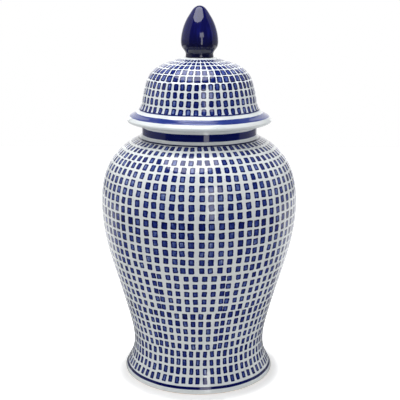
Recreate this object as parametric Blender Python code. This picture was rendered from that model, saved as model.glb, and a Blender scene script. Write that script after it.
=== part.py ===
"""A tall lidded ginger jar of painted, glazed porcelain.

Every piece is turned: its outline, a chain of (radius, height) points in the XZ plane, is spun
once around Z. The origin is the centre of the plane that the foot ring rests on, +Z is up and
lengths are in metres. The jar and its lid are separate: the lid, its locating ring and its
finial hang from one empty, which lifts straight up.
"""

import math

import bmesh
import bpy
import numpy as np

# Driving dimensions.
TOTAL_HEIGHT = 0.4570
WALL = 0.0050  # thickness of the cast walls
GAP = 0.0003  # clearance at every face where two pieces meet
EDGE_ROUND = 0.0015  # rounding of the glazed edges

FOOT_RADIUS = 0.0945
FOOT_RING_WIDTH = 0.0100  # of the flat ring that the jar rests on
FOOT_RECESS = 0.0085  # height of the base inside the foot ring
FLOOR_THICKNESS = 0.0070
WAIST_RADIUS, WAIST_HEIGHT = 0.0829, 0.0400
BELLY_RADIUS, BELLY_HEIGHT = 0.1212, 0.2240
NECK_RADIUS, NECK_ROOT_HEIGHT = 0.0705, 0.3040
LIP_HEIGHT = 0.3182

RIM_RADIUS = 0.0885  # outer edge of the lid's flange
RIM_ROUND = 0.0028
DOME_FOOT_RADIUS, DOME_FOOT_HEIGHT = 0.0715, 0.3385
CROWN_RADIUS, CROWN_HEIGHT = 0.0200, 0.3962  # flat seat of the finial, on top of the dome
VENT_RADIUS = 0.0040  # lets air out of the hollow finial in the kiln

RING_CLEARANCE = 0.0020  # between the locating ring and the inside of the neck
RING_DEPTH = 0.0180

FINIAL_SEAT_RADIUS = 0.0169
FINIAL_RADIUS, FINIAL_RADIUS_HEIGHT = 0.0225, 0.4160

# Fineness of the faceted shapes.
SEGMENTS = 56  # around a large piece
FINIAL_SEGMENTS = 32
TURN_DEGREES = 7.5  # that an outline turns from one point to the next
LONG_STEP = 0.0350  # a straight stretch of this length still gets a point
FINE_STEPS = 600  # into which a curve is divided to measure how it turns
SHARP_DEGREES = 40.0  # edges sharper than this are shaded as edges

# Heights and radii that follow from them.
FLOOR_HEIGHT = FOOT_RECESS + FLOOR_THICKNESS
MOUTH_RADIUS = NECK_RADIUS - WALL
SEAT_HEIGHT = LIP_HEIGHT + GAP
RING_OUTER = MOUTH_RADIUS - RING_CLEARANCE
RING_INNER = RING_OUTER - WALL
FINIAL_SEAT_HEIGHT = CROWN_HEIGHT + GAP


def natural_spline(points):
    """The natural cubic spline through the points, as a function of distance along its chords."""
    points = np.asarray(points, float)
    step = np.linalg.norm(np.diff(points, axis=0), axis=1)
    along = np.concatenate([[0.0], np.cumsum(step)])
    slope = np.diff(points, axis=0) / step[:, None]
    count = len(points)
    system = np.eye(count)
    right = np.zeros((count, 2))
    for i in range(1, count - 1):
        system[i, i - 1 : i + 2] = step[i - 1], 2 * (step[i - 1] + step[i]), step[i]
        right[i] = 6 * (slope[i] - slope[i - 1])
    bend = np.linalg.solve(system, right)

    def at(distance):
        i = int(np.clip(np.searchsorted(along, distance) - 1, 0, count - 2))
        t = distance - along[i]
        first = slope[i] - step[i] * (2 * bend[i] + bend[i + 1]) / 6
        third = (bend[i + 1] - bend[i]) / (6 * step[i])
        return points[i] + t * (first + t * (bend[i] / 2 + t * third))

    return at, along[-1]


def curve_through(points):
    """A smooth curve through the points, as a chain with more points where it turns more."""
    at, length = natural_spline(points)
    distances = np.linspace(0.0, length, FINE_STEPS + 1)
    fine = np.array([at(distance) for distance in distances])
    heading = np.unwrap(np.arctan2(*np.diff(fine, axis=0).T))
    turned = np.cumsum(np.abs(np.diff(heading, prepend=heading[0], append=heading[-1])))
    pace = turned / math.radians(TURN_DEGREES) + distances / LONG_STEP
    even = np.linspace(0.0, pace[-1], round(pace[-1]) + 1)
    picked = np.interp(even, pace, np.arange(FINE_STEPS + 1))
    return [tuple(fine[round(index)]) for index in picked]


def arc(centre, radius, first_degrees, last_degrees, pieces):
    """Points on an arc, with its angles measured from outwards to upwards."""
    angles = np.radians(np.linspace(first_degrees, last_degrees, pieces + 1))
    return [(centre[0] + radius * math.cos(a), centre[1] + radius * math.sin(a)) for a in angles]


def moved_inward(points, distance):
    """A chain that runs down an outer side, moved this far into the wall."""
    points = np.asarray(points, float)
    tangent = np.gradient(points, axis=0)
    tangent /= np.linalg.norm(tangent, axis=1)[:, None]
    normal = np.column_stack([tangent[:, 1], -tangent[:, 0]])
    return [tuple(p) for p in points + distance * normal]


def inner_side(outer_side, lowest):
    """The inner side of a cast wall, from the lowest height up, with half the points of the outer."""
    inside = [p for p in moved_inward(outer_side, WALL)[1::2] if p[1] > lowest]
    return inside[::-1]


def jar_side():
    """The outer side of the jar, from the root of the neck down to the foot."""
    return curve_through([
        (NECK_RADIUS, NECK_ROOT_HEIGHT),
        (0.0730, 0.3014),
        (0.0830, 0.2955),
        (0.0990, 0.2832),
        (0.1090, 0.2710),
        (0.1176, 0.2503),
        (BELLY_RADIUS, BELLY_HEIGHT),
        (0.1199, 0.1953),
        (0.1129, 0.1587),
        (0.1024, 0.1221),
        (0.0935, 0.0916),
        (0.0869, 0.0671),
        (WAIST_RADIUS, WAIST_HEIGHT),
        (0.0862, 0.0195),
        (0.0909, 0.0098),
        (FOOT_RADIUS - EDGE_ROUND / 5, 2 * EDGE_ROUND),
    ])


def jar_foot():
    """The rounded foot, the flat ring under it and the recessed base, inwards to the axis."""
    ring_outer = FOOT_RADIUS - EDGE_ROUND
    ring_inner = ring_outer - FOOT_RING_WIDTH
    return [
        (FOOT_RADIUS - EDGE_ROUND / 4, EDGE_ROUND / 2),
        (ring_outer, 0.0),
        (ring_inner, 0.0),
        (ring_inner - EDGE_ROUND, EDGE_ROUND),
        (ring_inner - 2 * EDGE_ROUND, FOOT_RECESS - EDGE_ROUND),
        (ring_inner - 3 * EDGE_ROUND, FOOT_RECESS),
        (0.0, FOOT_RECESS),
    ]


def jar_outline():
    side = jar_side()
    inside = inner_side(side[1:], FLOOR_HEIGHT + 2 * WALL)
    floor_radius = inside[0][0] - 2 * WALL
    lip_middle = LIP_HEIGHT - EDGE_ROUND
    return [
        (0.0, FLOOR_HEIGHT),
        *arc((floor_radius, FLOOR_HEIGHT + WALL), WALL, -90, -15, 3),
        *inside,
        (MOUTH_RADIUS, NECK_ROOT_HEIGHT - WALL / 2),
        *arc((MOUTH_RADIUS + EDGE_ROUND, lip_middle), EDGE_ROUND, 180, 90, 3),
        *arc((NECK_RADIUS - EDGE_ROUND, lip_middle), EDGE_ROUND, 90, 0, 3),
        *side,
        *jar_foot(),
    ]


def lid_side():
    """The outer side of the lid, from beside the finial's seat down to the flange's rim."""
    return curve_through([
        (CROWN_RADIUS + 0.0017, CROWN_HEIGHT - 0.0012),
        (0.0369, 0.3907),
        (0.0527, 0.3834),
        (0.0618, 0.3736),
        (0.0663, 0.3614),
        (0.0690, 0.3500),
        (DOME_FOOT_RADIUS, DOME_FOOT_HEIGHT),
        (0.0746, 0.3331),
        (0.0810, 0.3284),
        (0.0851, 0.3260),
        (RIM_RADIUS - 0.0012, SEAT_HEIGHT + 0.0050),
    ])


def lid_outline():
    side = lid_side()
    inside = inner_side(side, DOME_FOOT_HEIGHT)
    ceiling = inside[-1][1] + EDGE_ROUND / 2
    rim_centre = (RIM_RADIUS - RIM_ROUND, SEAT_HEIGHT + RIM_ROUND)
    return [
        (RING_INNER, SEAT_HEIGHT),
        (RING_INNER, SEAT_HEIGHT + WALL),
        (RING_INNER + WALL / 2, SEAT_HEIGHT + 2 * WALL),
        *inside,
        (VENT_RADIUS, ceiling),
        (VENT_RADIUS, CROWN_HEIGHT),
        (CROWN_RADIUS, CROWN_HEIGHT),
        *side,
        *arc(rim_centre, RIM_ROUND, 20, -90, 4),
    ]


def ring_outline():
    """The ring luted under the lid, which drops inside the neck and keeps the lid central."""
    top = SEAT_HEIGHT - GAP
    round_height = top - RING_DEPTH + EDGE_ROUND
    return [
        (RING_INNER, top),
        (RING_OUTER, top),
        *arc((RING_OUTER - EDGE_ROUND, round_height), EDGE_ROUND, 0, -90, 2),
        *arc((RING_INNER + EDGE_ROUND, round_height), EDGE_ROUND, -90, -180, 2),
    ]


def finial_side():
    """The outer side of the bud, from just under its point down to its seat."""
    return curve_through([
        (0.0060, 0.4548),
        (0.0081, 0.4527),
        (0.0107, 0.4490),
        (0.0150, 0.4421),
        (0.0201, 0.4298),
        (FINIAL_RADIUS, FINIAL_RADIUS_HEIGHT),
        (0.0211, 0.4078),
        (0.0166, 0.3998),
        (FINIAL_SEAT_RADIUS, 0.3975),
    ])


def finial_outline():
    """The bud is hollow and open below, so its outline runs from the tip down, then up its inside."""
    side = finial_side()
    hollow = inner_side(side[1:], FINIAL_SEAT_HEIGHT + WALL)
    return [
        (0.0, TOTAL_HEIGHT),
        (0.0034, TOTAL_HEIGHT - 0.0007),
        *side,
        (FINIAL_SEAT_RADIUS, FINIAL_SEAT_HEIGHT),
        (hollow[0][0], FINIAL_SEAT_HEIGHT),
        *hollow,
        (0.0, hollow[-1][1] + WALL / 2),
    ]


def porcelain(name, colour, roughness):
    """A glazed or bare porcelain surface."""
    material = bpy.data.materials.new(name)
    material.use_nodes = True
    shader = material.node_tree.nodes["Principled BSDF"]
    shader.inputs["Base Color"].default_value = (*colour, 1.0)
    shader.inputs["Roughness"].default_value = roughness
    shader.inputs["Metallic"].default_value = 0.0
    return material


def turned(name, outline, segments, material, base_height=0.0, closed=False):
    """An object made by spinning its outline once around Z, with its origin at base_height."""
    shape = bmesh.new()
    points = [shape.verts.new((radius, 0.0, height - base_height)) for radius, height in outline]
    if closed:
        points.append(points[0])
    for first, second in zip(points, points[1:]):
        shape.edges.new((first, second))
    bmesh.ops.spin(
        shape,
        geom=shape.verts[:] + shape.edges[:],
        axis=(0.0, 0.0, 1.0),
        angle=2 * math.pi,
        steps=segments,
        use_merge=True,
    )
    bmesh.ops.remove_doubles(shape, verts=shape.verts, dist=0.00001)
    bmesh.ops.recalc_face_normals(shape, faces=shape.faces)
    mesh = bpy.data.meshes.new(name)
    shape.to_mesh(mesh)
    shape.free()
    mesh.shade_smooth()
    mesh.set_sharp_from_angle(angle=math.radians(SHARP_DEGREES))
    mesh.materials.append(material)
    piece = bpy.data.objects.new(name, mesh)
    bpy.context.scene.collection.objects.link(piece)
    return piece


def make_jar(paint):
    turned("jar_body", jar_outline(), SEGMENTS, paint)


def make_lid(paint, bare, blue):
    """The lid's three pieces, luted together, on the empty that lifts them off the jar."""
    lift = bpy.data.objects.new("lid_lift", None)
    lift.location.z = SEAT_HEIGHT
    bpy.context.scene.collection.objects.link(lift)
    pieces = [
        turned("lid", lid_outline(), SEGMENTS, paint, SEAT_HEIGHT, closed=True),
        turned("locating_ring", ring_outline(), SEGMENTS, bare, SEAT_HEIGHT, closed=True),
        turned("finial", finial_outline(), FINIAL_SEGMENTS, blue, SEAT_HEIGHT),
    ]
    for piece in pieces:
        piece.parent = lift


def main():
    for item in list(bpy.data.objects):
        bpy.data.objects.remove(item)
    make_jar(porcelain("painted porcelain", (0.42, 0.46, 0.55), 0.12))
    make_lid(
        porcelain("painted lid porcelain", (0.42, 0.46, 0.55), 0.12),
        porcelain("bare porcelain", (0.78, 0.66, 0.56), 0.75),
        porcelain("cobalt glaze", (0.01, 0.016, 0.11), 0.08),
    )


main()
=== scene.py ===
"""The looks of a tall lidded ginger jar: glazed porcelain painted in rows of small cobalt squares.

Every visible piece is turned again, finely and smoothly, along the outline of the CAD node that it
stands for. The painting is worked out inside the shaders, from the angle around the jar and the
distance along its outline. Lengths are in metres and angles in degrees; angle 0 is the front, -Y.
"""

import math
from collections import Counter

import bpy
import numpy as np
from mathutils import Matrix


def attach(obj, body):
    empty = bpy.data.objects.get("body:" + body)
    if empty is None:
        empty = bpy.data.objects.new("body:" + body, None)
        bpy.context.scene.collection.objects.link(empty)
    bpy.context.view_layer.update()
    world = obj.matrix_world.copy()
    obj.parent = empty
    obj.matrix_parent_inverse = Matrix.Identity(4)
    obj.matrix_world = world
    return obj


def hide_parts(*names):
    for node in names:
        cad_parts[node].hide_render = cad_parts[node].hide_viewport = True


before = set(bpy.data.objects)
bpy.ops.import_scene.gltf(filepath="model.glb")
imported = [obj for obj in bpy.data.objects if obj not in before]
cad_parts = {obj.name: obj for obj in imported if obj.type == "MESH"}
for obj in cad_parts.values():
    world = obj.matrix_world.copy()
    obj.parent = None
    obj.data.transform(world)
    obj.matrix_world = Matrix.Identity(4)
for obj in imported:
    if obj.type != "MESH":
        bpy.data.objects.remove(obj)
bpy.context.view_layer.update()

MM = 0.001

# The turned meshes.
SEGMENTS = 192  # around every piece
LONG_STEP = 2.5 * MM  # between rings on a straight stretch
TURN_STEP = 7.0  # degrees between rings on a bend
FINE_STEP = 0.2 * MM  # of the smooth outline from which the rings are picked
CORNER_TURN = 20.0  # an outline that turns more than this at a point has a corner there
SLIGHT_TURN = 4.0  # the same where a straight stretch meets one under a quarter of its length
SOFT_CORNER, HARD_CORNER = 3.0 * MM, 0.8 * MM  # most that a fillet takes off each side
SUNK = 0.6 * MM  # that a luted piece reaches into its neighbour
JAR_WOBBLE, LID_WOBBLE, RING_WOBBLE, BUD_WOBBLE = 0.10 * MM, 0.08 * MM, 0.08 * MM, 0.06 * MM
WOBBLE_FULL = 20.0 * MM  # radius from which a piece's wobble is full; it fades towards the axis

# Glaze and paint.
JAR_WHITE = (0.80, 0.825, 0.815)
# the lid's white is the jar's white made darker, which paints shade on the lid
SHADED_LID_WHITE = (0.73, 0.76, 0.76)
THICK_COBALT = (0.0050, 0.0115, 0.140)  # share of light that comes back through paint of thickness 1
BISCUIT = (0.62, 0.46, 0.36)
BLUE_GLAZE = (0.0035, 0.0040, 0.060)

PAINT_FOOT = 9.2 * MM  # height of the lowest edge of the jar's marks
BARE_EDGE = 0.4 * MM  # distance up from the foot within which the porcelain is bare
BUD_SHADE_TOP, BUD_SHADE_FULL = 428.0 * MM, 404.0 * MM  # heights between which the bud's colour darkens towards its root, as painted shade
DOME_FOOT_HEIGHT = 334.8 * MM  # of the line around the foot of the lid's dome

# The studio. A light panel stands round the jar: its first and last angle, its distance from the
# axis, its lowest and highest edge, its radiance as a light, and as the glaze mirrors it.
CAMERA_PLACE = (1.0 * MM, -1074.5 * MM, 476.7 * MM)
CAMERA_LENS = 79.5
CAMERA_PITCH, CAMERA_TURN, CAMERA_ROLL = 13.48, -0.01, 0.21
SOFTBOX_CENTRE, SOFTBOX_HEIGHT, SOFTBOX_RADIUS = (-0.070, -0.105), 0.80, 0.275
SOFTBOX_LIGHT, SOFTBOX_MIRRORED = 5.5, 4.4
LIGHT_PANELS = [
    ("strip_stem", 9, 19, 1.45, 0.0, 0.72, 0.5, 3.0),
    ("strip_head", 2, 27, 1.45, 0.72, 1.05, 0.5, 3.4),
    ("front_fill", -68, 84, 1.50, 0.0, 0.70, 1.15, 0.03),
    ("high_fill", -68, 84, 1.50, 0.70, 2.00, 0.5, 0.03),
    ("left_panel", -150, -68, 1.50, 0.45, 2.00, 0.4, 0.50),
    ("right_panel", 84, 150, 1.50, 0.45, 2.00, 0.45, 0.40),
    ("left_skirt", -150, -68, 1.50, 0.0, 0.45, 1.7, 0.35),
    ("right_skirt", 84, 150, 1.50, 0.0, 0.45, 2.1, 0.40),
    ("back_wall", 150, 210, 1.60, 0.0, 1.60, 1.2, 1.2),
]
FLOOR_EDGES = (-1.43, 1.56, -0.50, 1.60)
FLOOR_HOLE = 96.0 * MM  # radius within which the floor is there for the camera only
UNDER_DEPTH, UNDER_SIZE = 0.30, 0.50  # depth and half width of the panel that lights it from below
UNDER_LIGHT, UNDER_MIRRORED = 1.0, 0.4
NEAR_GLOW, FAR_GLOW = 0.30, 1.0  # added to the floor where the camera looks at it
SHADOW_AHEAD = 11.0 * MM  # that the soft shadow round the foot lies before the jar's axis
FLOOR_SHADE = 0.80  # of the floor as it lights the jar
FLOOR_MIRRORED = 0.12  # of the floor before the jar, as its glaze mirrors it
FLOOR_SEEN = 0.90  # of the floor as the camera sees it, before its glow
SHADOW_INNER, SHADOW_OUTER = 94.0 * MM, 118.0 * MM  # between which the floor's glow rises to its full
ROOM_GLOW = 0.035

# ---- Outlines -------------------------------------------------------------------------------


def disc_middle(rim):
    """The middle of the flat disc inside this rim, which has no point of its own on the axis."""
    return [(0.0, rim[1])] if rim[0] > 0 else []


def meridian(node):
    """The (radius, height) outline of a turned CAD node, in order, and whether it is a loop."""
    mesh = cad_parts[node].data
    where = {}
    for vertex in mesh.vertices:
        x, y, z = vertex.co
        if abs(y) < 1e-5 and x > -1e-5:
            where[vertex.index] = (round(max(x, 0.0), 5), round(z, 5))
    joined = {}
    for edge in mesh.edges:
        ends = [where.get(index) for index in edge.vertices]
        if None not in ends and ends[0] != ends[1]:
            joined.setdefault(ends[0], set()).add(ends[1])
            joined.setdefault(ends[1], set()).add(ends[0])
    tips = [point for point in joined if len(joined[point]) == 1]
    loop = not tips
    chain = [min(joined, key=lambda p: p[1] + p[0]) if loop else max(tips, key=lambda p: p[1])]
    while True:
        onward = sorted(joined[chain[-1]] - set(chain[-2:]), key=lambda p: p[1])
        if not onward or (len(chain) > 2 and onward[-1] == chain[0]):
            break
        chain.append(onward[-1])
    if not loop:
        chain = [*disc_middle(chain[0]), *chain, *disc_middle(chain[-1])]
    return np.array(chain), loop


def clamped_spline(points, first_slope, last_slope, step):
    """Points about a step apart on the cubic spline through the points, with its end slopes given."""
    chord = np.linalg.norm(np.diff(points, axis=0), axis=1)
    along = np.concatenate([[0.0], np.cumsum(chord)])
    slope = np.diff(points, axis=0) / chord[:, None]
    count = len(points)
    system = np.zeros((count, count))
    right = np.zeros((count, 2))
    system[0, :2] = 2 * chord[0], chord[0]
    system[-1, -2:] = chord[-1], 2 * chord[-1]
    right[0] = 6 * (slope[0] - first_slope)
    right[-1] = 6 * (last_slope - slope[-1])
    for i in range(1, count - 1):
        system[i, i - 1 : i + 2] = chord[i - 1], 2 * (chord[i - 1] + chord[i]), chord[i]
        right[i] = 6 * (slope[i] - slope[i - 1])
    bend = np.linalg.solve(system, right)
    distance = np.linspace(0.0, along[-1], max(2, math.ceil(along[-1] / step) + 1))
    i = np.clip(np.searchsorted(along, distance) - 1, 0, count - 2)
    t = (distance - along[i])[:, None]
    width = chord[i][:, None]
    start = slope[i] - width * (2 * bend[i] + bend[i + 1]) / 6
    return points[i] + t * (start + t * (bend[i] / 2 + t * (bend[i + 1] - bend[i]) / (6 * width)))


def smooth_outline(points, loop):
    """A faceted outline made smooth: fillets at its corners and splines between them."""
    count = len(points)
    before = np.roll(points, 1, axis=0)
    after = np.roll(points, -1, axis=0)
    if not loop:
        before[0] = points[1] * (-1, 1)
        after[-1] = points[-2] * (-1, 1)
    into = points - before
    out = after - points
    into_length = np.linalg.norm(into, axis=1)
    out_length = np.linalg.norm(out, axis=1)
    into /= into_length[:, None]
    out /= out_length[:, None]
    turn = np.degrees(np.arccos(np.clip((into * out).sum(axis=1), -1, 1)))
    uneven = np.maximum(into_length, out_length) > 4 * np.minimum(into_length, out_length)
    corners = [i for i in range(count) if turn[i] >= (SLIGHT_TURN if uneven[i] else CORNER_TURN)]
    if not loop:
        corners = sorted({0, count - 1, *corners})

    pieces = []
    spans = list(zip(corners, corners[1:] + ([corners[0] + count] if loop else [])))
    cut = {}
    for i in corners:
        most = HARD_CORNER if turn[i] >= 60 else SOFT_CORNER
        cut[i] = min(into_length[i] / 2, out_length[i] / 2, most)
    for first, last in spans:
        on_axis = not loop and first == 0
        ends_on_axis = not loop and last == count - 1
        last %= count
        stop = last if last > first else last + count
        inside = [points[j % count] for j in range(first + 1, stop)]
        begin = points[first] if on_axis else points[first] + cut[first] * out[first]
        end = points[last] if ends_on_axis else points[last] - cut[last] * into[last]
        begin_slope = np.array([out[first][0] / abs(out[first][0]), 0.0]) if on_axis else out[first]
        end_slope = np.array([-1.0, 0.0]) if ends_on_axis else into[last]
        if math.dist(begin, end) > 1e-6:
            stretch = np.array([begin, *inside, end])
            pieces.append(clamped_spline(stretch, begin_slope, end_slope, FINE_STEP))
        if ends_on_axis:
            continue
        leave = points[last] + cut[last] * out[last]
        t = np.linspace(0.0, 1.0, max(4, math.ceil(turn[last] / 4)) + 1)[:, None]
        pieces.append((1 - t) ** 2 * end + 2 * t * (1 - t) * points[last] + t**2 * leave)
    fine = np.concatenate(pieces)
    apart = np.linalg.norm(np.diff(fine, axis=0, prepend=fine[:1] - 1), axis=1) > 1e-7
    fine = fine[apart]
    return fine[:-1] if loop and math.dist(fine[0], fine[-1]) < 1e-7 else fine


def arc_lengths(chain):
    step = np.linalg.norm(np.diff(chain, axis=0), axis=1)
    return np.concatenate([[0.0], np.cumsum(step)])


def pick_rings(fine, stops):
    """Fewer points of a fine outline, more of them where it bends, with one at each stop along it."""
    along = arc_lengths(fine)
    heading = np.unwrap(np.arctan2(*np.diff(fine, axis=0).T))
    bends = np.abs(np.diff(heading, prepend=heading[0], append=heading[-1]))
    turned = np.degrees(np.cumsum(bends))
    pace = turned / TURN_STEP + along / LONG_STEP
    stops = sorted({0.0, along[-1], *[s for s in stops if 0 < s < along[-1]]})
    picked = [0.0]
    for low, high in zip(stops, stops[1:]):
        first, last = np.interp([low, high], along, pace)
        steps = max(1, round(last - first))
        picked.extend(np.interp(np.linspace(first, last, steps + 1)[1:], pace, along))
    picked = np.array(picked)
    picked[-1] = along[-1]
    rings = np.column_stack([np.interp(picked, along, fine[:, axis]) for axis in (0, 1)])
    return rings, picked


# ---- Turned meshes --------------------------------------------------------------------------


def wobble(angle, height, amount):
    """How far a hand-finished wall strays from a true round, in metres."""
    return amount * (
        0.9 * np.sin(2 * angle + 9 * height + 0.7)
        + 0.6 * np.sin(3 * angle - 17 * height + 1.9)
        + 0.35 * np.sin(5 * angle + 41 * height + 4.1)
    )


def turned_mesh(name, rings, loop, amount):
    """A closed mesh turned from rings of (radius, height)."""
    angles = np.radians(np.arange(SEGMENTS) * 360.0 / SEGMENTS)
    vertices, first = [], []
    for radius, height in rings:
        first.append(len(vertices))
        if radius < 1e-6:
            vertices.append((0.0, 0.0, height))
            continue
        out = radius + wobble(angles, height, amount) * min(1.0, radius / WOBBLE_FULL)
        vertices.extend(zip(out * np.sin(angles), -out * np.cos(angles), [height] * SEGMENTS))
    faces, bands = [], []
    count = len(rings)
    for band in range(count if loop else count - 1):
        low, high = first[band], first[(band + 1) % count]
        low_pole = rings[band][0] < 1e-6
        high_pole = rings[(band + 1) % count][0] < 1e-6
        for k in range(SEGMENTS):
            n = (k + 1) % SEGMENTS
            if low_pole:
                faces.append((low, high + k, high + n))
            elif high_pole:
                faces.append((low + n, low + k, high))
            else:
                faces.append((low + n, low + k, high + k, high + n))
            bands.append(band)
    mesh = bpy.data.meshes.new(name)
    mesh.from_pydata([tuple(v) for v in vertices], [], faces)
    mesh.validate()
    sides = Counter(key for face in mesh.polygons for key in face.edge_keys)
    assert len(mesh.polygons) == len(bands) and set(sides.values()) == {2}, name + " isn't closed"
    mesh.shade_smooth()
    return mesh, np.array(bands), first


def store(mesh, name, kind, domain, values):
    attribute = mesh.attributes.new(name, kind, domain)
    field = "vector" if kind == "FLOAT_VECTOR" else "value"
    attribute.data.foreach_set(field, np.asarray(values, np.float32).ravel())


# ---- The painted sheets ---------------------------------------------------------------------

# The marks come as transfer sheets laid edge to edge around the pot, each some columns wide.
# A panel is one round of sheets: its rows, its top and bottom as distances along the outline, the
# columns in a sheet, the pitch of the columns, the gap across a joint between two sheets, and the
# angle of one sheet's first column; then each mark's width and height as shares of its pitches and
# the radius of its corners. Pitch, gap and first column are in degrees.


class Panel:
    def __init__(self, rows, top, bottom, columns, pitch, joint, first, width, height, corner):
        self.rows, self.top, self.bottom = rows, top, bottom
        self.columns, self.pitch, self.joint, self.first = columns, pitch, joint, first
        self.width, self.height, self.corner = width, height, corner
        self.row_height = (top - bottom) / rows
        self.span = (columns - 1) * pitch + joint
        sheets = round(360 / self.span)
        self.spare = (sheets * self.span - 360) / 2  # taken up by the sheets at the back, each side


BODY_PANELS = [
    Panel(3, 325.2 * MM, 292.4 * MM, 8, 5.62, 5.62, 0.2, 0.60, 0.68, 0.9 * MM),
    Panel(6, 292.4 * MM, 228.0 * MM, 6, 5.45, 4.70, -20.2, 0.57, 0.73, 1.1 * MM),
    Panel(6, 228.0 * MM, 162.6 * MM, 8, 5.46, 3.90, -9.4, 0.57, 0.71, 1.0 * MM),
    Panel(5, 162.6 * MM, 109.0 * MM, 8, 5.60, 3.80, -24.5, 0.56, 0.67, 1.0 * MM),
    Panel(5, 109.0 * MM, 53.9 * MM, 9, 5.65, 4.50, -32.2, 0.58, 0.69, 1.0 * MM),
    Panel(4, 53.9 * MM, 10.0 * MM, 8, 5.55, 6.15, 11.2, 0.58, 0.72, 0.8 * MM),
]
LID_PANELS = [
    Panel(5, 86.5 * MM, 37.6 * MM, 11, 8.18, 8.18, 6.0, 0.74, 0.80, 1.1 * MM),
    Panel(4, 37.6 * MM, -0.8 * MM, 10, 7.20, 7.20, 4.2, 0.62, 0.77, 1.6 * MM),
]
JAR_DARK_ROWS = {9: 1.25, 10: 1.12, 11: 1.06, 20: 1.12, 21: 1.05}  # heavier rows, counted from the top
LID_DARK_ROWS = {3: 1.05, 4: 1.20, 5: 1.20, 6: 1.05}

# Brushed bands: lowest and highest edge as distances along the outline, and strength.
JAR_BANDS = [
    (5.6 * MM, 8.8 * MM, 1.15),  # above the foot
    (324.0 * MM, 326.2 * MM, 1.4),  # along the top of the squares
    (330.8 * MM, 339.2 * MM, 1.1),  # round the neck
]
LID_BANDS = [
    (-0.9 * MM, 0.7 * MM, 1.0),  # round the foot of the dome
    (-14.8 * MM, -6.0 * MM, 0.66),  # on the flange
]


def lay_sheets(mesh, bands, band_middle, panels, dark_rows):
    """Writes, on every face, which row and sheet it belongs to, for the painting shader to read."""
    count = len(band_middle)
    # a face outside every row keeps these values, which paint nothing on it
    sheet = np.tile((0.0, 10.0, 10.0), (count, 1))
    fit = np.zeros((count, 3))
    look = np.tile((-1.0, 0.0, 1.0), (count, 1))
    shape = np.tile((-1.0, -1.0, 0.0), (count, 1))
    row = 0
    for panel in panels:
        for k in range(panel.rows):
            top = panel.top - k * panel.row_height
            held = (band_middle < top) & (band_middle > top - panel.row_height)
            sheet[held] = panel.first - panel.joint / 2, panel.span, panel.pitch
            fit[held] = panel.joint / 2, panel.columns - 1, panel.spare
            look[held] = row, dark_rows.get(row, 1.0), top - panel.row_height / 2
            shape[held] = panel.width / 2, panel.height * panel.row_height / 2, panel.corner
            row += 1
    for name, values in (("sheet", sheet), ("sheet_fit", fit), ("row_look", look), ("mark_shape", shape)):
        store(mesh, name, "FLOAT_VECTOR", "FACE", values[bands])


def row_stops(panels):
    return [p.top - k * p.row_height for p in panels for k in range(p.rows + 1)]


# ---- Shader building ------------------------------------------------------------------------


class Signal:
    """A number inside a shader. Arithmetic on it adds nodes to the shader."""

    def __init__(self, shader, socket):
        self.shader, self.socket = shader, socket

    def __add__(self, other):
        return self.shader.calc("ADD", self, other)

    def __radd__(self, other):
        return self.shader.calc("ADD", other, self)

    def __sub__(self, other):
        return self.shader.calc("SUBTRACT", self, other)

    def __rsub__(self, other):
        return self.shader.calc("SUBTRACT", other, self)

    def __mul__(self, other):
        return self.shader.calc("MULTIPLY", self, other)

    def __truediv__(self, other):
        return self.shader.calc("DIVIDE", self, other)

    def __abs__(self):
        return self.shader.calc("ABSOLUTE", self)

    def __neg__(self):
        return self.shader.calc("MULTIPLY", self, -1.0)


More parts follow.
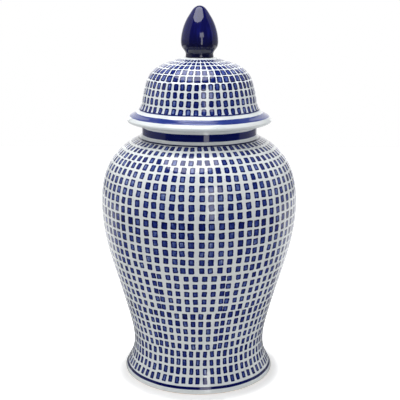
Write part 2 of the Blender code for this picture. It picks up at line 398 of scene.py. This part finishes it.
class Shader:
    """A material's node tree and short ways to add to it."""

    def __init__(self, name):
        self.material = bpy.data.materials.new(name)
        self.material.use_nodes = True
        self.nodes = self.material.node_tree.nodes
        self.links = self.material.node_tree.links
        self.surface = self.nodes["Principled BSDF"]
        place = self.nodes.new("ShaderNodeTexCoord")
        self.place = Signal(self, place.outputs["Object"])
        self.x, self.y, self.z = self.split(self.place)

    def feed(self, socket, value):
        if isinstance(value, Signal):
            self.links.new(value.socket, socket)
        else:
            socket.default_value = value

    def calc(self, operation, *values):
        node = self.nodes.new("ShaderNodeMath")
        node.operation = operation
        for socket, value in zip(node.inputs, values):
            self.feed(socket, value)
        return Signal(self, node.outputs[0])

    def ramp(self, value, low, high, to_low=0.0, to_high=1.0):
        """Smoothly from to_low, where value is low, to to_high, where it is high."""
        node = self.nodes.new("ShaderNodeMapRange")
        node.interpolation_type = "SMOOTHSTEP"
        for socket, item in zip(node.inputs, (value, low, high, to_low, to_high)):
            self.feed(socket, item)
        return Signal(self, node.outputs[0])

    def split(self, vector):
        node = self.nodes.new("ShaderNodeSeparateXYZ")
        self.feed(node.inputs[0], vector)
        return [Signal(self, socket) for socket in node.outputs]

    def join(self, x, y, z):
        node = self.nodes.new("ShaderNodeCombineXYZ")
        for socket, value in zip(node.inputs, (x, y, z)):
            self.feed(socket, value)
        return Signal(self, node.outputs[0])

    def attribute(self, name):
        node = self.nodes.new("ShaderNodeAttribute")
        node.attribute_name = name
        return node

    def numbers(self, name):
        return self.split(Signal(self, self.attribute(name).outputs["Vector"]))

    def number(self, name):
        return Signal(self, self.attribute(name).outputs["Fac"])

    def noise(self, vector, scale, detail=2.0, roughness=0.5):
        node = self.nodes.new("ShaderNodeTexNoise")
        self.feed(node.inputs["Vector"], vector)
        node.inputs["Scale"].default_value = scale
        node.inputs["Detail"].default_value = detail
        node.inputs["Roughness"].default_value = roughness
        return Signal(self, node.outputs[0])

    def dice(self, x, y, z):
        """Three random numbers from 0 to 1 that depend only on x, y and z."""
        node = self.nodes.new("ShaderNodeTexWhiteNoise")
        self.feed(node.inputs["Vector"], self.join(x, y, z))
        return self.split(Signal(self, node.outputs["Color"]))

    def blend(self, share, first, second, mode="MIX"):
        """A colour that is first where share is 0 and second where it is 1."""
        node = self.nodes.new("ShaderNodeMix")
        node.data_type = "RGBA"
        node.blend_type = mode
        for socket, value in ((0, share), (6, first), (7, second)):
            if isinstance(value, tuple):
                value = (*value, 1.0)
            self.feed(node.inputs[socket], value)
        return Signal(self, node.outputs[2])

    def through(self, colour, thickness):
        """What a layer that passes this colour at thickness 1 passes at another thickness."""
        node = self.nodes.new("ShaderNodeGamma")
        node.inputs[0].default_value = (*colour, 1.0)
        self.feed(node.inputs[1], thickness)
        return Signal(self, node.outputs[0])

    def bump(self, height, distance):
        node = self.nodes.new("ShaderNodeBump")
        node.inputs["Distance"].default_value = distance
        self.feed(node.inputs["Height"], height)
        self.links.new(node.outputs[0], self.surface.inputs["Normal"])

    def finish(self, colour, roughness, **others):
        self.feed(self.surface.inputs["Base Color"], colour)
        self.feed(self.surface.inputs["Roughness"], roughness)
        for name, value in others.items():
            self.feed(self.surface.inputs[name.replace("_", " ")], value)
        return self.material


# ---- The painting ---------------------------------------------------------------------------

FRONT = 110.0  # degrees to each side within which sheets keep their true pitch
COLUMN_DRIFT = 0.55  # degrees over which a sheet's columns stray
SHEET_DROP = 1.4 * MM  # over which sheets are laid high or low
MARK_SHIFT, MARK_LIFT = 0.5 * MM, 0.6 * MM  # over which single marks stray
MARK_TILT = 0.18  # range of a mark's slope
RAGGED = 1.1 * MM  # over which a mark's edge strays
MARK_EDGE = 0.30 * MM  # that the paint takes to fade, each side of a mark's edge
BAND_EDGE = 0.25 * MM  # the same for a band
RIM_INNER, RIM_OUTER = -1.6 * MM, -0.8 * MM  # the thick rim of a mark ends between these


def painted_marks(s, angle, radius, along):
    """The thickness of the paint in the marks, 0 where there is none."""
    start, span, pitch = s.numbers("sheet")
    half_joint, last_column, spare = s.numbers("sheet_fit")
    row, tone, middle = s.numbers("row_look")
    half_width, half_height, corner = s.numbers("mark_shape")

    beyond = s.calc("MAXIMUM", abs(angle) - FRONT, 0.0) / (180.0 - FRONT)
    turned = angle + s.calc("SIGN", angle) * beyond * spare
    sheets = (turned - start) / span + 20.0
    local = s.calc("FRACT", sheets) * span - half_joint
    column = s.calc("ROUND", local / pitch)
    column = s.calc("MINIMUM", s.calc("MAXIMUM", column, 0.0), last_column)
    drop, _, _ = s.dice(s.calc("FLOOR", sheets), s.calc("FLOOR", start), 5.0)
    across, _, _ = s.dice(column, s.calc("FLOOR", start), 3.0)
    shift, lift, size = s.dice(column, row, 7.0)
    turn, fade, _ = s.dice(column, row, 19.0)

    metres = radius * math.pi / 180
    dx = (local - column * pitch + (across - 0.5) * COLUMN_DRIFT) * metres + (shift - 0.5) * MARK_SHIFT
    dy = along - middle + (lift - 0.5) * MARK_LIFT + (drop - 0.5) * SHEET_DROP
    tilt = (turn - 0.5) * MARK_TILT
    dx, dy = dx + dy * tilt, dy - dx * tilt
    grow = 0.94 + size * 0.12 + (tone - 1.0) * 0.35
    ragged = (s.noise(s.place, 420.0, 3.0) - 0.5) * RAGGED
    qx = abs(dx) - half_width * pitch * metres * grow + corner
    qy = abs(dy) - half_height * grow + corner
    outside_x = s.calc("MAXIMUM", qx, 0.0)
    outside_y = s.calc("MAXIMUM", qy, 0.0)
    far = s.calc("SQRT", outside_x * outside_x + outside_y * outside_y)
    deep = s.calc("MINIMUM", s.calc("MAXIMUM", qx, qy), 0.0)
    edge = far + deep - corner + ragged

    mask = s.ramp(edge, MARK_EDGE, -MARK_EDGE)
    centre = s.ramp(edge, RIM_OUTER, RIM_INNER)
    streaks = s.noise(s.join(angle * 0.55, along * 130.0, row), 1.0, 3.0, 0.6)
    patch = s.noise(s.place, 260.0, 2.0)
    thin = 0.50 + (streaks - 0.5) * 0.70 + (patch - 0.5) * 0.6 + (fade - 0.5) * 0.30
    thickness = 1.25 + (patch - 0.5) * 0.35 - centre * s.calc("MAXIMUM", thin, 0.0) * 1.35
    return mask * thickness * tone


def painted_band(s, angle, along, low, high, strength):
    """The thickness of the paint in a band brushed on while the pot turned."""
    radians = angle * (math.pi / 180)
    ring = s.join(s.calc("SINE", radians), s.calc("COSINE", radians), 0.0)
    waver = (s.noise(ring, 3.0, 3.0) - 0.5) * 0.9 * MM
    height = along + waver
    above = s.ramp(height, low - BAND_EDGE, low + BAND_EDGE)
    below = s.ramp(height, high + BAND_EDGE, high - BAND_EDGE)
    brushed = s.noise(s.join(angle * 0.035, along * 900.0, 0.0), 1.0, 3.0, 0.6)
    return above * below * (0.70 + brushed * 0.6) * strength


def painted_glaze(name, ground, bands):
    """White porcelain with cobalt marks and bands under a clear glaze."""
    s = Shader(name)
    angle = s.calc("ARCTAN2", s.x, -s.y) * (180 / math.pi)
    radius = s.calc("SQRT", s.x * s.x + s.y * s.y)
    along = s.number("along")

    paint = painted_marks(s, angle, radius, along)
    for low, high, strength in bands:
        paint = s.calc("MAXIMUM", paint, painted_band(s, angle, along, low, high, strength))
    bleed = s.noise(s.place, 60.0, 3.0) * 0.012
    cloud = s.noise(s.place, 9.0, 3.0)
    speck = s.ramp(s.noise(s.place, 520.0, 0.0), 0.80, 0.86)
    clouded = tuple(c * f for c, f in zip(ground, (0.955, 0.965, 0.975)))
    white = s.blend(cloud, ground, clouded)
    white = s.blend(speck * 0.35, white, (0.30, 0.24, 0.18))
    colour = s.blend(1.0, white, s.through(THICK_COBALT, paint + bleed), "MULTIPLY")

    peel = s.noise(s.place, 95.0, 2.0)
    ripple = s.noise(s.place, 22.0, 1.0)
    s.bump(ripple + peel * 0.12 - paint * 0.05, 0.10 * MM)
    roughness = 0.035 + s.noise(s.place, 35.0, 4.0) * 0.03
    return s.finish(colour, roughness, IOR=1.52)


def plain_glaze():
    """The unpainted glaze inside the jar and under the lid: thinner, with pinholes and runs."""
    s = Shader("plain_glaze")
    cloud = s.noise(s.place, 14.0, 4.0)
    run = s.noise(s.join(s.x * 60.0, s.y * 60.0, s.z * 7.0), 1.0, 3.0)
    speck = s.ramp(s.noise(s.place, 480.0, 0.0), 0.78, 0.84)
    colour = s.blend(cloud, (0.74, 0.76, 0.74), (0.66, 0.67, 0.63))
    colour = s.blend(speck * 0.6, colour, (0.22, 0.16, 0.11))
    s.bump(run + s.noise(s.place, 110.0, 2.0) * 0.2, 0.25 * MM)
    return s.finish(colour, 0.07 + cloud * 0.10, IOR=1.5)


def bare_porcelain():
    """Unglazed porcelain, fired to a warm buff, scuffed grey on its highest grains."""
    s = Shader("bare_porcelain")
    cloud = s.noise(s.place, 28.0, 4.0)
    grain = s.noise(s.place, 1400.0, 3.0, 0.7)
    scuff = s.ramp(s.noise(s.place, 170.0, 4.0, 0.65), 0.56, 0.70)
    colour = s.blend(cloud, BISCUIT, (0.74, 0.63, 0.54))
    colour = s.blend(grain * 0.25, colour, (0.42, 0.33, 0.27))
    colour = s.blend(scuff * 0.35, colour, (0.36, 0.34, 0.33))
    s.bump(grain + scuff * 0.4, 0.08 * MM)
    return s.finish(colour, 0.62 + grain * 0.25)


def cobalt_glaze():
    """Solid cobalt brushed up the bud under a thick glaze, thinner along its highest streaks, and
    darkened towards its root as painted shade.
    """
    s = Shader("cobalt_glaze")
    angle = s.calc("ARCTAN2", s.x, -s.y) * (180 / math.pi)
    streak = s.noise(s.join(angle * 0.10, s.z * 22.0, 0.0), 1.0, 4.0, 0.6)
    pool = s.noise(s.place, 60.0, 3.0)
    thin = s.ramp(streak + (pool - 0.5) * 0.5, 0.45, 0.80)
    colour = s.blend(thin, BLUE_GLAZE, (0.007, 0.009, 0.12))
    # painted shade: the bud's colour darkens towards its root, where it meets the lid
    colour = s.blend(s.ramp(s.z, BUD_SHADE_TOP, BUD_SHADE_FULL, 0.0, 0.75), colour, (0.0045, 0.0050, 0.020))
    s.bump(s.noise(s.place, 70.0, 2.0) + streak * 0.15, 0.12 * MM)
    return s.finish(colour, 0.05 + pool * 0.03, IOR=1.55)


# ---- Pieces ---------------------------------------------------------------------------------


def add_piece(name, mesh, materials, node, body):
    for material in materials:
        mesh.materials.append(material)
    piece = bpy.data.objects.new(name, mesh)
    bpy.context.scene.collection.objects.link(piece)
    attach(piece, body)
    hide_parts(node)
    return piece


def build_jar(plain, bare):
    outline, loop = meridian("jar_body")
    fine = smooth_outline(outline, loop)
    along = arc_lengths(fine)
    lip = np.argmax(fine[:, 1])
    foot = lip + np.argmax(fine[lip:, 1] < 0.3 * MM)  # where the outer side meets the foot ring
    start = lip + np.interp(-PAINT_FOOT, -fine[lip:foot, 1], np.arange(foot - lip))
    foot_height = np.interp(start, np.arange(len(along)), along) + PAINT_FOOT
    rings, picked = pick_rings(fine, [foot_height - s for s in row_stops(BODY_PANELS)])
    mesh, bands, first = turned_mesh("jar", rings, loop, JAR_WOBBLE)

    up_from_foot = foot_height - picked
    middles = (up_from_foot[:-1] + up_from_foot[1:]) / 2
    lay_sheets(mesh, bands, middles, BODY_PANELS, JAR_DARK_ROWS)
    spread = np.repeat(up_from_foot, np.diff([*first, len(mesh.vertices)]))
    store(mesh, "along", "FLOAT", "POINT", spread)
    lip_arc = foot_height - along[lip]
    ring_inner = foot + np.argmax(fine[foot:, 1] > 0.5 * MM)
    outside = (middles > BARE_EDGE) & (middles < lip_arc)
    unglazed = (middles <= BARE_EDGE) & (middles > foot_height - along[ring_inner])
    mesh.polygons.foreach_set("material_index", np.select([outside, unglazed], [0, 2], 1)[bands])

    painted = painted_glaze("painted_jar", JAR_WHITE, JAR_BANDS)
    add_piece("jar", mesh, [painted, plain, bare], "jar_body", "jar")


def build_lid(plain):
    outline, loop = meridian("lid")
    fine = smooth_outline(outline, loop)
    crown = np.argmax(fine[:, 1] + fine[:, 0] * 0.01)  # the outer edge of the finial's seat
    fine = np.roll(fine, -crown, axis=0)
    if fine[len(fine) // 8, 0] < fine[0, 0]:  # it runs inward, so turn it round
        fine = np.roll(fine[::-1], 1, axis=0)
    along = arc_lengths(fine)
    rim = np.argmax(fine[:, 0])
    dome_foot = np.interp(-DOME_FOOT_HEIGHT, -fine[:rim, 1], along[:rim])
    rings, picked = pick_rings(fine, [dome_foot - s for s in row_stops(LID_PANELS)])
    mesh, bands, first = turned_mesh("lid_shell", rings, loop, LID_WOBBLE)

    up_from_foot = dome_foot - picked
    middles = (up_from_foot + np.append(up_from_foot[1:], up_from_foot[-1] - MM)) / 2
    lay_sheets(mesh, bands, middles, LID_PANELS, LID_DARK_ROWS)
    spread = np.repeat(up_from_foot, np.diff([*first, len(mesh.vertices)]))
    store(mesh, "along", "FLOAT", "POINT", spread)
    under_rim = rim + np.argmax(np.diff(fine[rim:, 1], append=0) >= 0)
    outside = middles > dome_foot - along[under_rim]
    mesh.polygons.foreach_set("material_index", np.where(outside, 0, 1)[bands])

    painted = painted_glaze("painted_lid", SHADED_LID_WHITE, LID_BANDS)
    add_piece("lid_shell", mesh, [painted, plain], "lid", "lid_assembly")


def build_ring(bare):
    """The locating ring, carried a little way up into the lid, where the real one is luted."""
    outline, loop = meridian("locating_ring")
    top = outline[:, 1].max()
    outline[outline[:, 1] > top - 0.1 * MM, 1] += SUNK
    rings, _ = pick_rings(smooth_outline(outline, loop), [])
    mesh, _, _ = turned_mesh("locating_ring", rings, loop, RING_WOBBLE)
    add_piece("lid_ring", mesh, [bare], "locating_ring", "lid_assembly")


def build_finial(blue):
    """The bud, carried a little way down into the crown of the lid, where the real one is luted."""
    outline, loop = meridian("finial")
    seat = outline[:, 1].min()
    outline[outline[:, 1] < seat + 0.1 * MM, 1] -= SUNK
    rings, _ = pick_rings(smooth_outline(outline, loop), [])
    mesh, _, _ = turned_mesh("finial", rings, loop, BUD_WOBBLE)
    add_piece("lid_finial", mesh, [blue], "finial", "lid_assembly")


# ---- Studio ---------------------------------------------------------------------------------


def emitter(name, light, mirrored):
    """A glow of one strength as a light and of another in what the glaze mirrors."""
    material = bpy.data.materials.new(name)
    material.use_nodes = True
    nodes, links = material.node_tree.nodes, material.node_tree.links
    nodes.remove(nodes["Principled BSDF"])
    path = nodes.new("ShaderNodeLightPath")
    strength = nodes.new("ShaderNodeMapRange")
    strength.inputs["To Min"].default_value = light
    strength.inputs["To Max"].default_value = mirrored
    glow = nodes.new("ShaderNodeEmission")
    links.new(path.outputs["Is Glossy Ray"], strength.inputs["Value"])
    links.new(strength.outputs[0], glow.inputs["Strength"])
    links.new(glow.outputs[0], nodes["Material Output"].inputs["Surface"])
    return material


def light_panel(name, corners, faces, light, mirrored):
    """A glowing panel that lights and reflects but doesn't show to the camera."""
    mesh = bpy.data.meshes.new(name)
    mesh.from_pydata(corners, [], faces)
    mesh.materials.append(emitter(name, light, mirrored))
    panel = bpy.data.objects.new(name, mesh)
    panel.visible_camera = False
    bpy.context.scene.collection.objects.link(panel)


def round_direction(angle, distance):
    """A point this far from the jar's axis, at an angle measured right from the front."""
    return math.sin(math.radians(angle)) * distance, -math.cos(math.radians(angle)) * distance


def build_lights():
    octagon = []
    for k in range(8):
        x, y = round_direction(45 * k - 10, SOFTBOX_RADIUS)
        octagon.append((SOFTBOX_CENTRE[0] + x, SOFTBOX_CENTRE[1] + y, SOFTBOX_HEIGHT))
    light_panel("softbox", octagon, [range(8)], SOFTBOX_LIGHT, SOFTBOX_MIRRORED)
    for name, first, last, distance, low, high, light, mirrored in LIGHT_PANELS:
        steps = math.ceil((last - first) / 15)
        corners, faces = [], []
        for k in range(steps + 1):
            x, y = round_direction(first + (last - first) * k / steps, distance)
            corners.extend([(x, y, low), (x, y, high)])
        for k in range(0, 2 * steps, 2):
            faces.append((k, k + 2, k + 3, k + 1))
        light_panel(name, corners, faces, light, mirrored)
    near, far = -UNDER_SIZE, UNDER_SIZE
    corners = [(x, y, -UNDER_DEPTH) for x, y in ((near, near), (far, near), (far, far), (near, far))]
    light_panel("under_panel", corners, [range(4)], UNDER_LIGHT, UNDER_MIRRORED)


def floor_material():
    """White to the camera, duller to the jar, and mirrored dull before the jar and bright behind it.

    From underneath it is clear, and under the foot it is clear to all but the camera.
    """
    s = Shader("floor")
    path = s.nodes.new("ShaderNodeLightPath")
    seen = Signal(s, path.outputs["Is Camera Ray"])
    mirrored = Signal(s, path.outputs["Is Glossy Ray"])
    shade = s.blend(mirrored, (FLOOR_SHADE,) * 3, (FLOOR_MIRRORED,) * 3)
    colour = s.blend(seen, shade, (FLOOR_SEEN,) * 3)
    away = s.calc("SQRT", s.x * s.x + s.y * s.y)
    ahead = s.y + SHADOW_AHEAD
    spread = s.calc("SQRT", s.x * s.x + ahead * ahead) + (s.noise(s.place, 6.0, 3.0) - 0.5) * 0.01
    glow = seen * s.ramp(spread, SHADOW_INNER, SHADOW_OUTER, NEAR_GLOW, FAR_GLOW)
    glow = glow + mirrored * s.ramp(s.y, 0.0, 0.30)
    s.finish(colour, 0.7, Emission_Color=(1.0, 1.0, 1.0, 1.0), Emission_Strength=glow)
    clear = s.nodes.new("ShaderNodeBsdfTransparent")
    side = s.nodes.new("ShaderNodeNewGeometry")
    choice = s.nodes.new("ShaderNodeMixShader")
    under = s.calc("LESS_THAN", away, FLOOR_HOLE) * (1.0 - seen)
    s.feed(choice.inputs[0], s.calc("MAXIMUM", Signal(s, side.outputs["Backfacing"]), under))
    s.links.new(s.surface.outputs[0], choice.inputs[1])
    s.links.new(clear.outputs[0], choice.inputs[2])
    s.links.new(choice.outputs[0], s.nodes["Material Output"].inputs["Surface"])
    return s.material


def build_floor():
    mesh = bpy.data.meshes.new("floor")
    left, right, front, back = FLOOR_EDGES
    corners = [(left, front, 0), (right, front, 0), (right, back, 0), (left, back, 0)]
    mesh.from_pydata(corners, [], [range(4)])
    mesh.materials.append(floor_material())
    floor = bpy.data.objects.new("floor", mesh)
    bpy.context.scene.collection.objects.link(floor)


def build_world():
    """White where the camera looks past the object, and a dim room to everything else."""
    world = bpy.data.worlds.new("studio")
    world.use_nodes = True
    nodes, links = world.node_tree.nodes, world.node_tree.links
    nodes.clear()
    path = nodes.new("ShaderNodeLightPath")
    room = nodes.new("ShaderNodeBackground")
    room.inputs["Color"].default_value = (ROOM_GLOW, ROOM_GLOW, ROOM_GLOW, 1.0)
    white = nodes.new("ShaderNodeBackground")
    white.inputs["Color"].default_value = (1.0, 1.0, 1.0, 1.0)
    choice = nodes.new("ShaderNodeMixShader")
    links.new(path.outputs["Is Camera Ray"], choice.inputs[0])
    links.new(room.outputs[0], choice.inputs[1])
    links.new(white.outputs[0], choice.inputs[2])
    output = nodes.new("ShaderNodeOutputWorld")
    links.new(choice.outputs[0], output.inputs["Surface"])
    bpy.context.scene.world = world
    bpy.context.scene.view_settings.view_transform = "Standard"


def build_camera():
    lens = bpy.data.cameras.new("camera")
    lens.lens = CAMERA_LENS
    camera = bpy.data.objects.new("camera", lens)
    camera.location = CAMERA_PLACE
    turn = Matrix.Rotation(math.radians(CAMERA_TURN), 4, "Z")
    pitch = Matrix.Rotation(math.radians(90 - CAMERA_PITCH), 4, "X")
    roll = Matrix.Rotation(math.radians(CAMERA_ROLL), 4, "Z")
    camera.matrix_world = Matrix.Translation(CAMERA_PLACE) @ turn @ pitch @ roll
    bpy.context.scene.collection.objects.link(camera)
    bpy.context.scene.camera = camera


def main():
    plain, bare = plain_glaze(), bare_porcelain()
    build_jar(plain, bare)
    build_lid(plain)
    build_ring(bare)
    build_finial(cobalt_glaze())
    build_floor()
    build_lights()
    build_world()
    build_camera()


main()
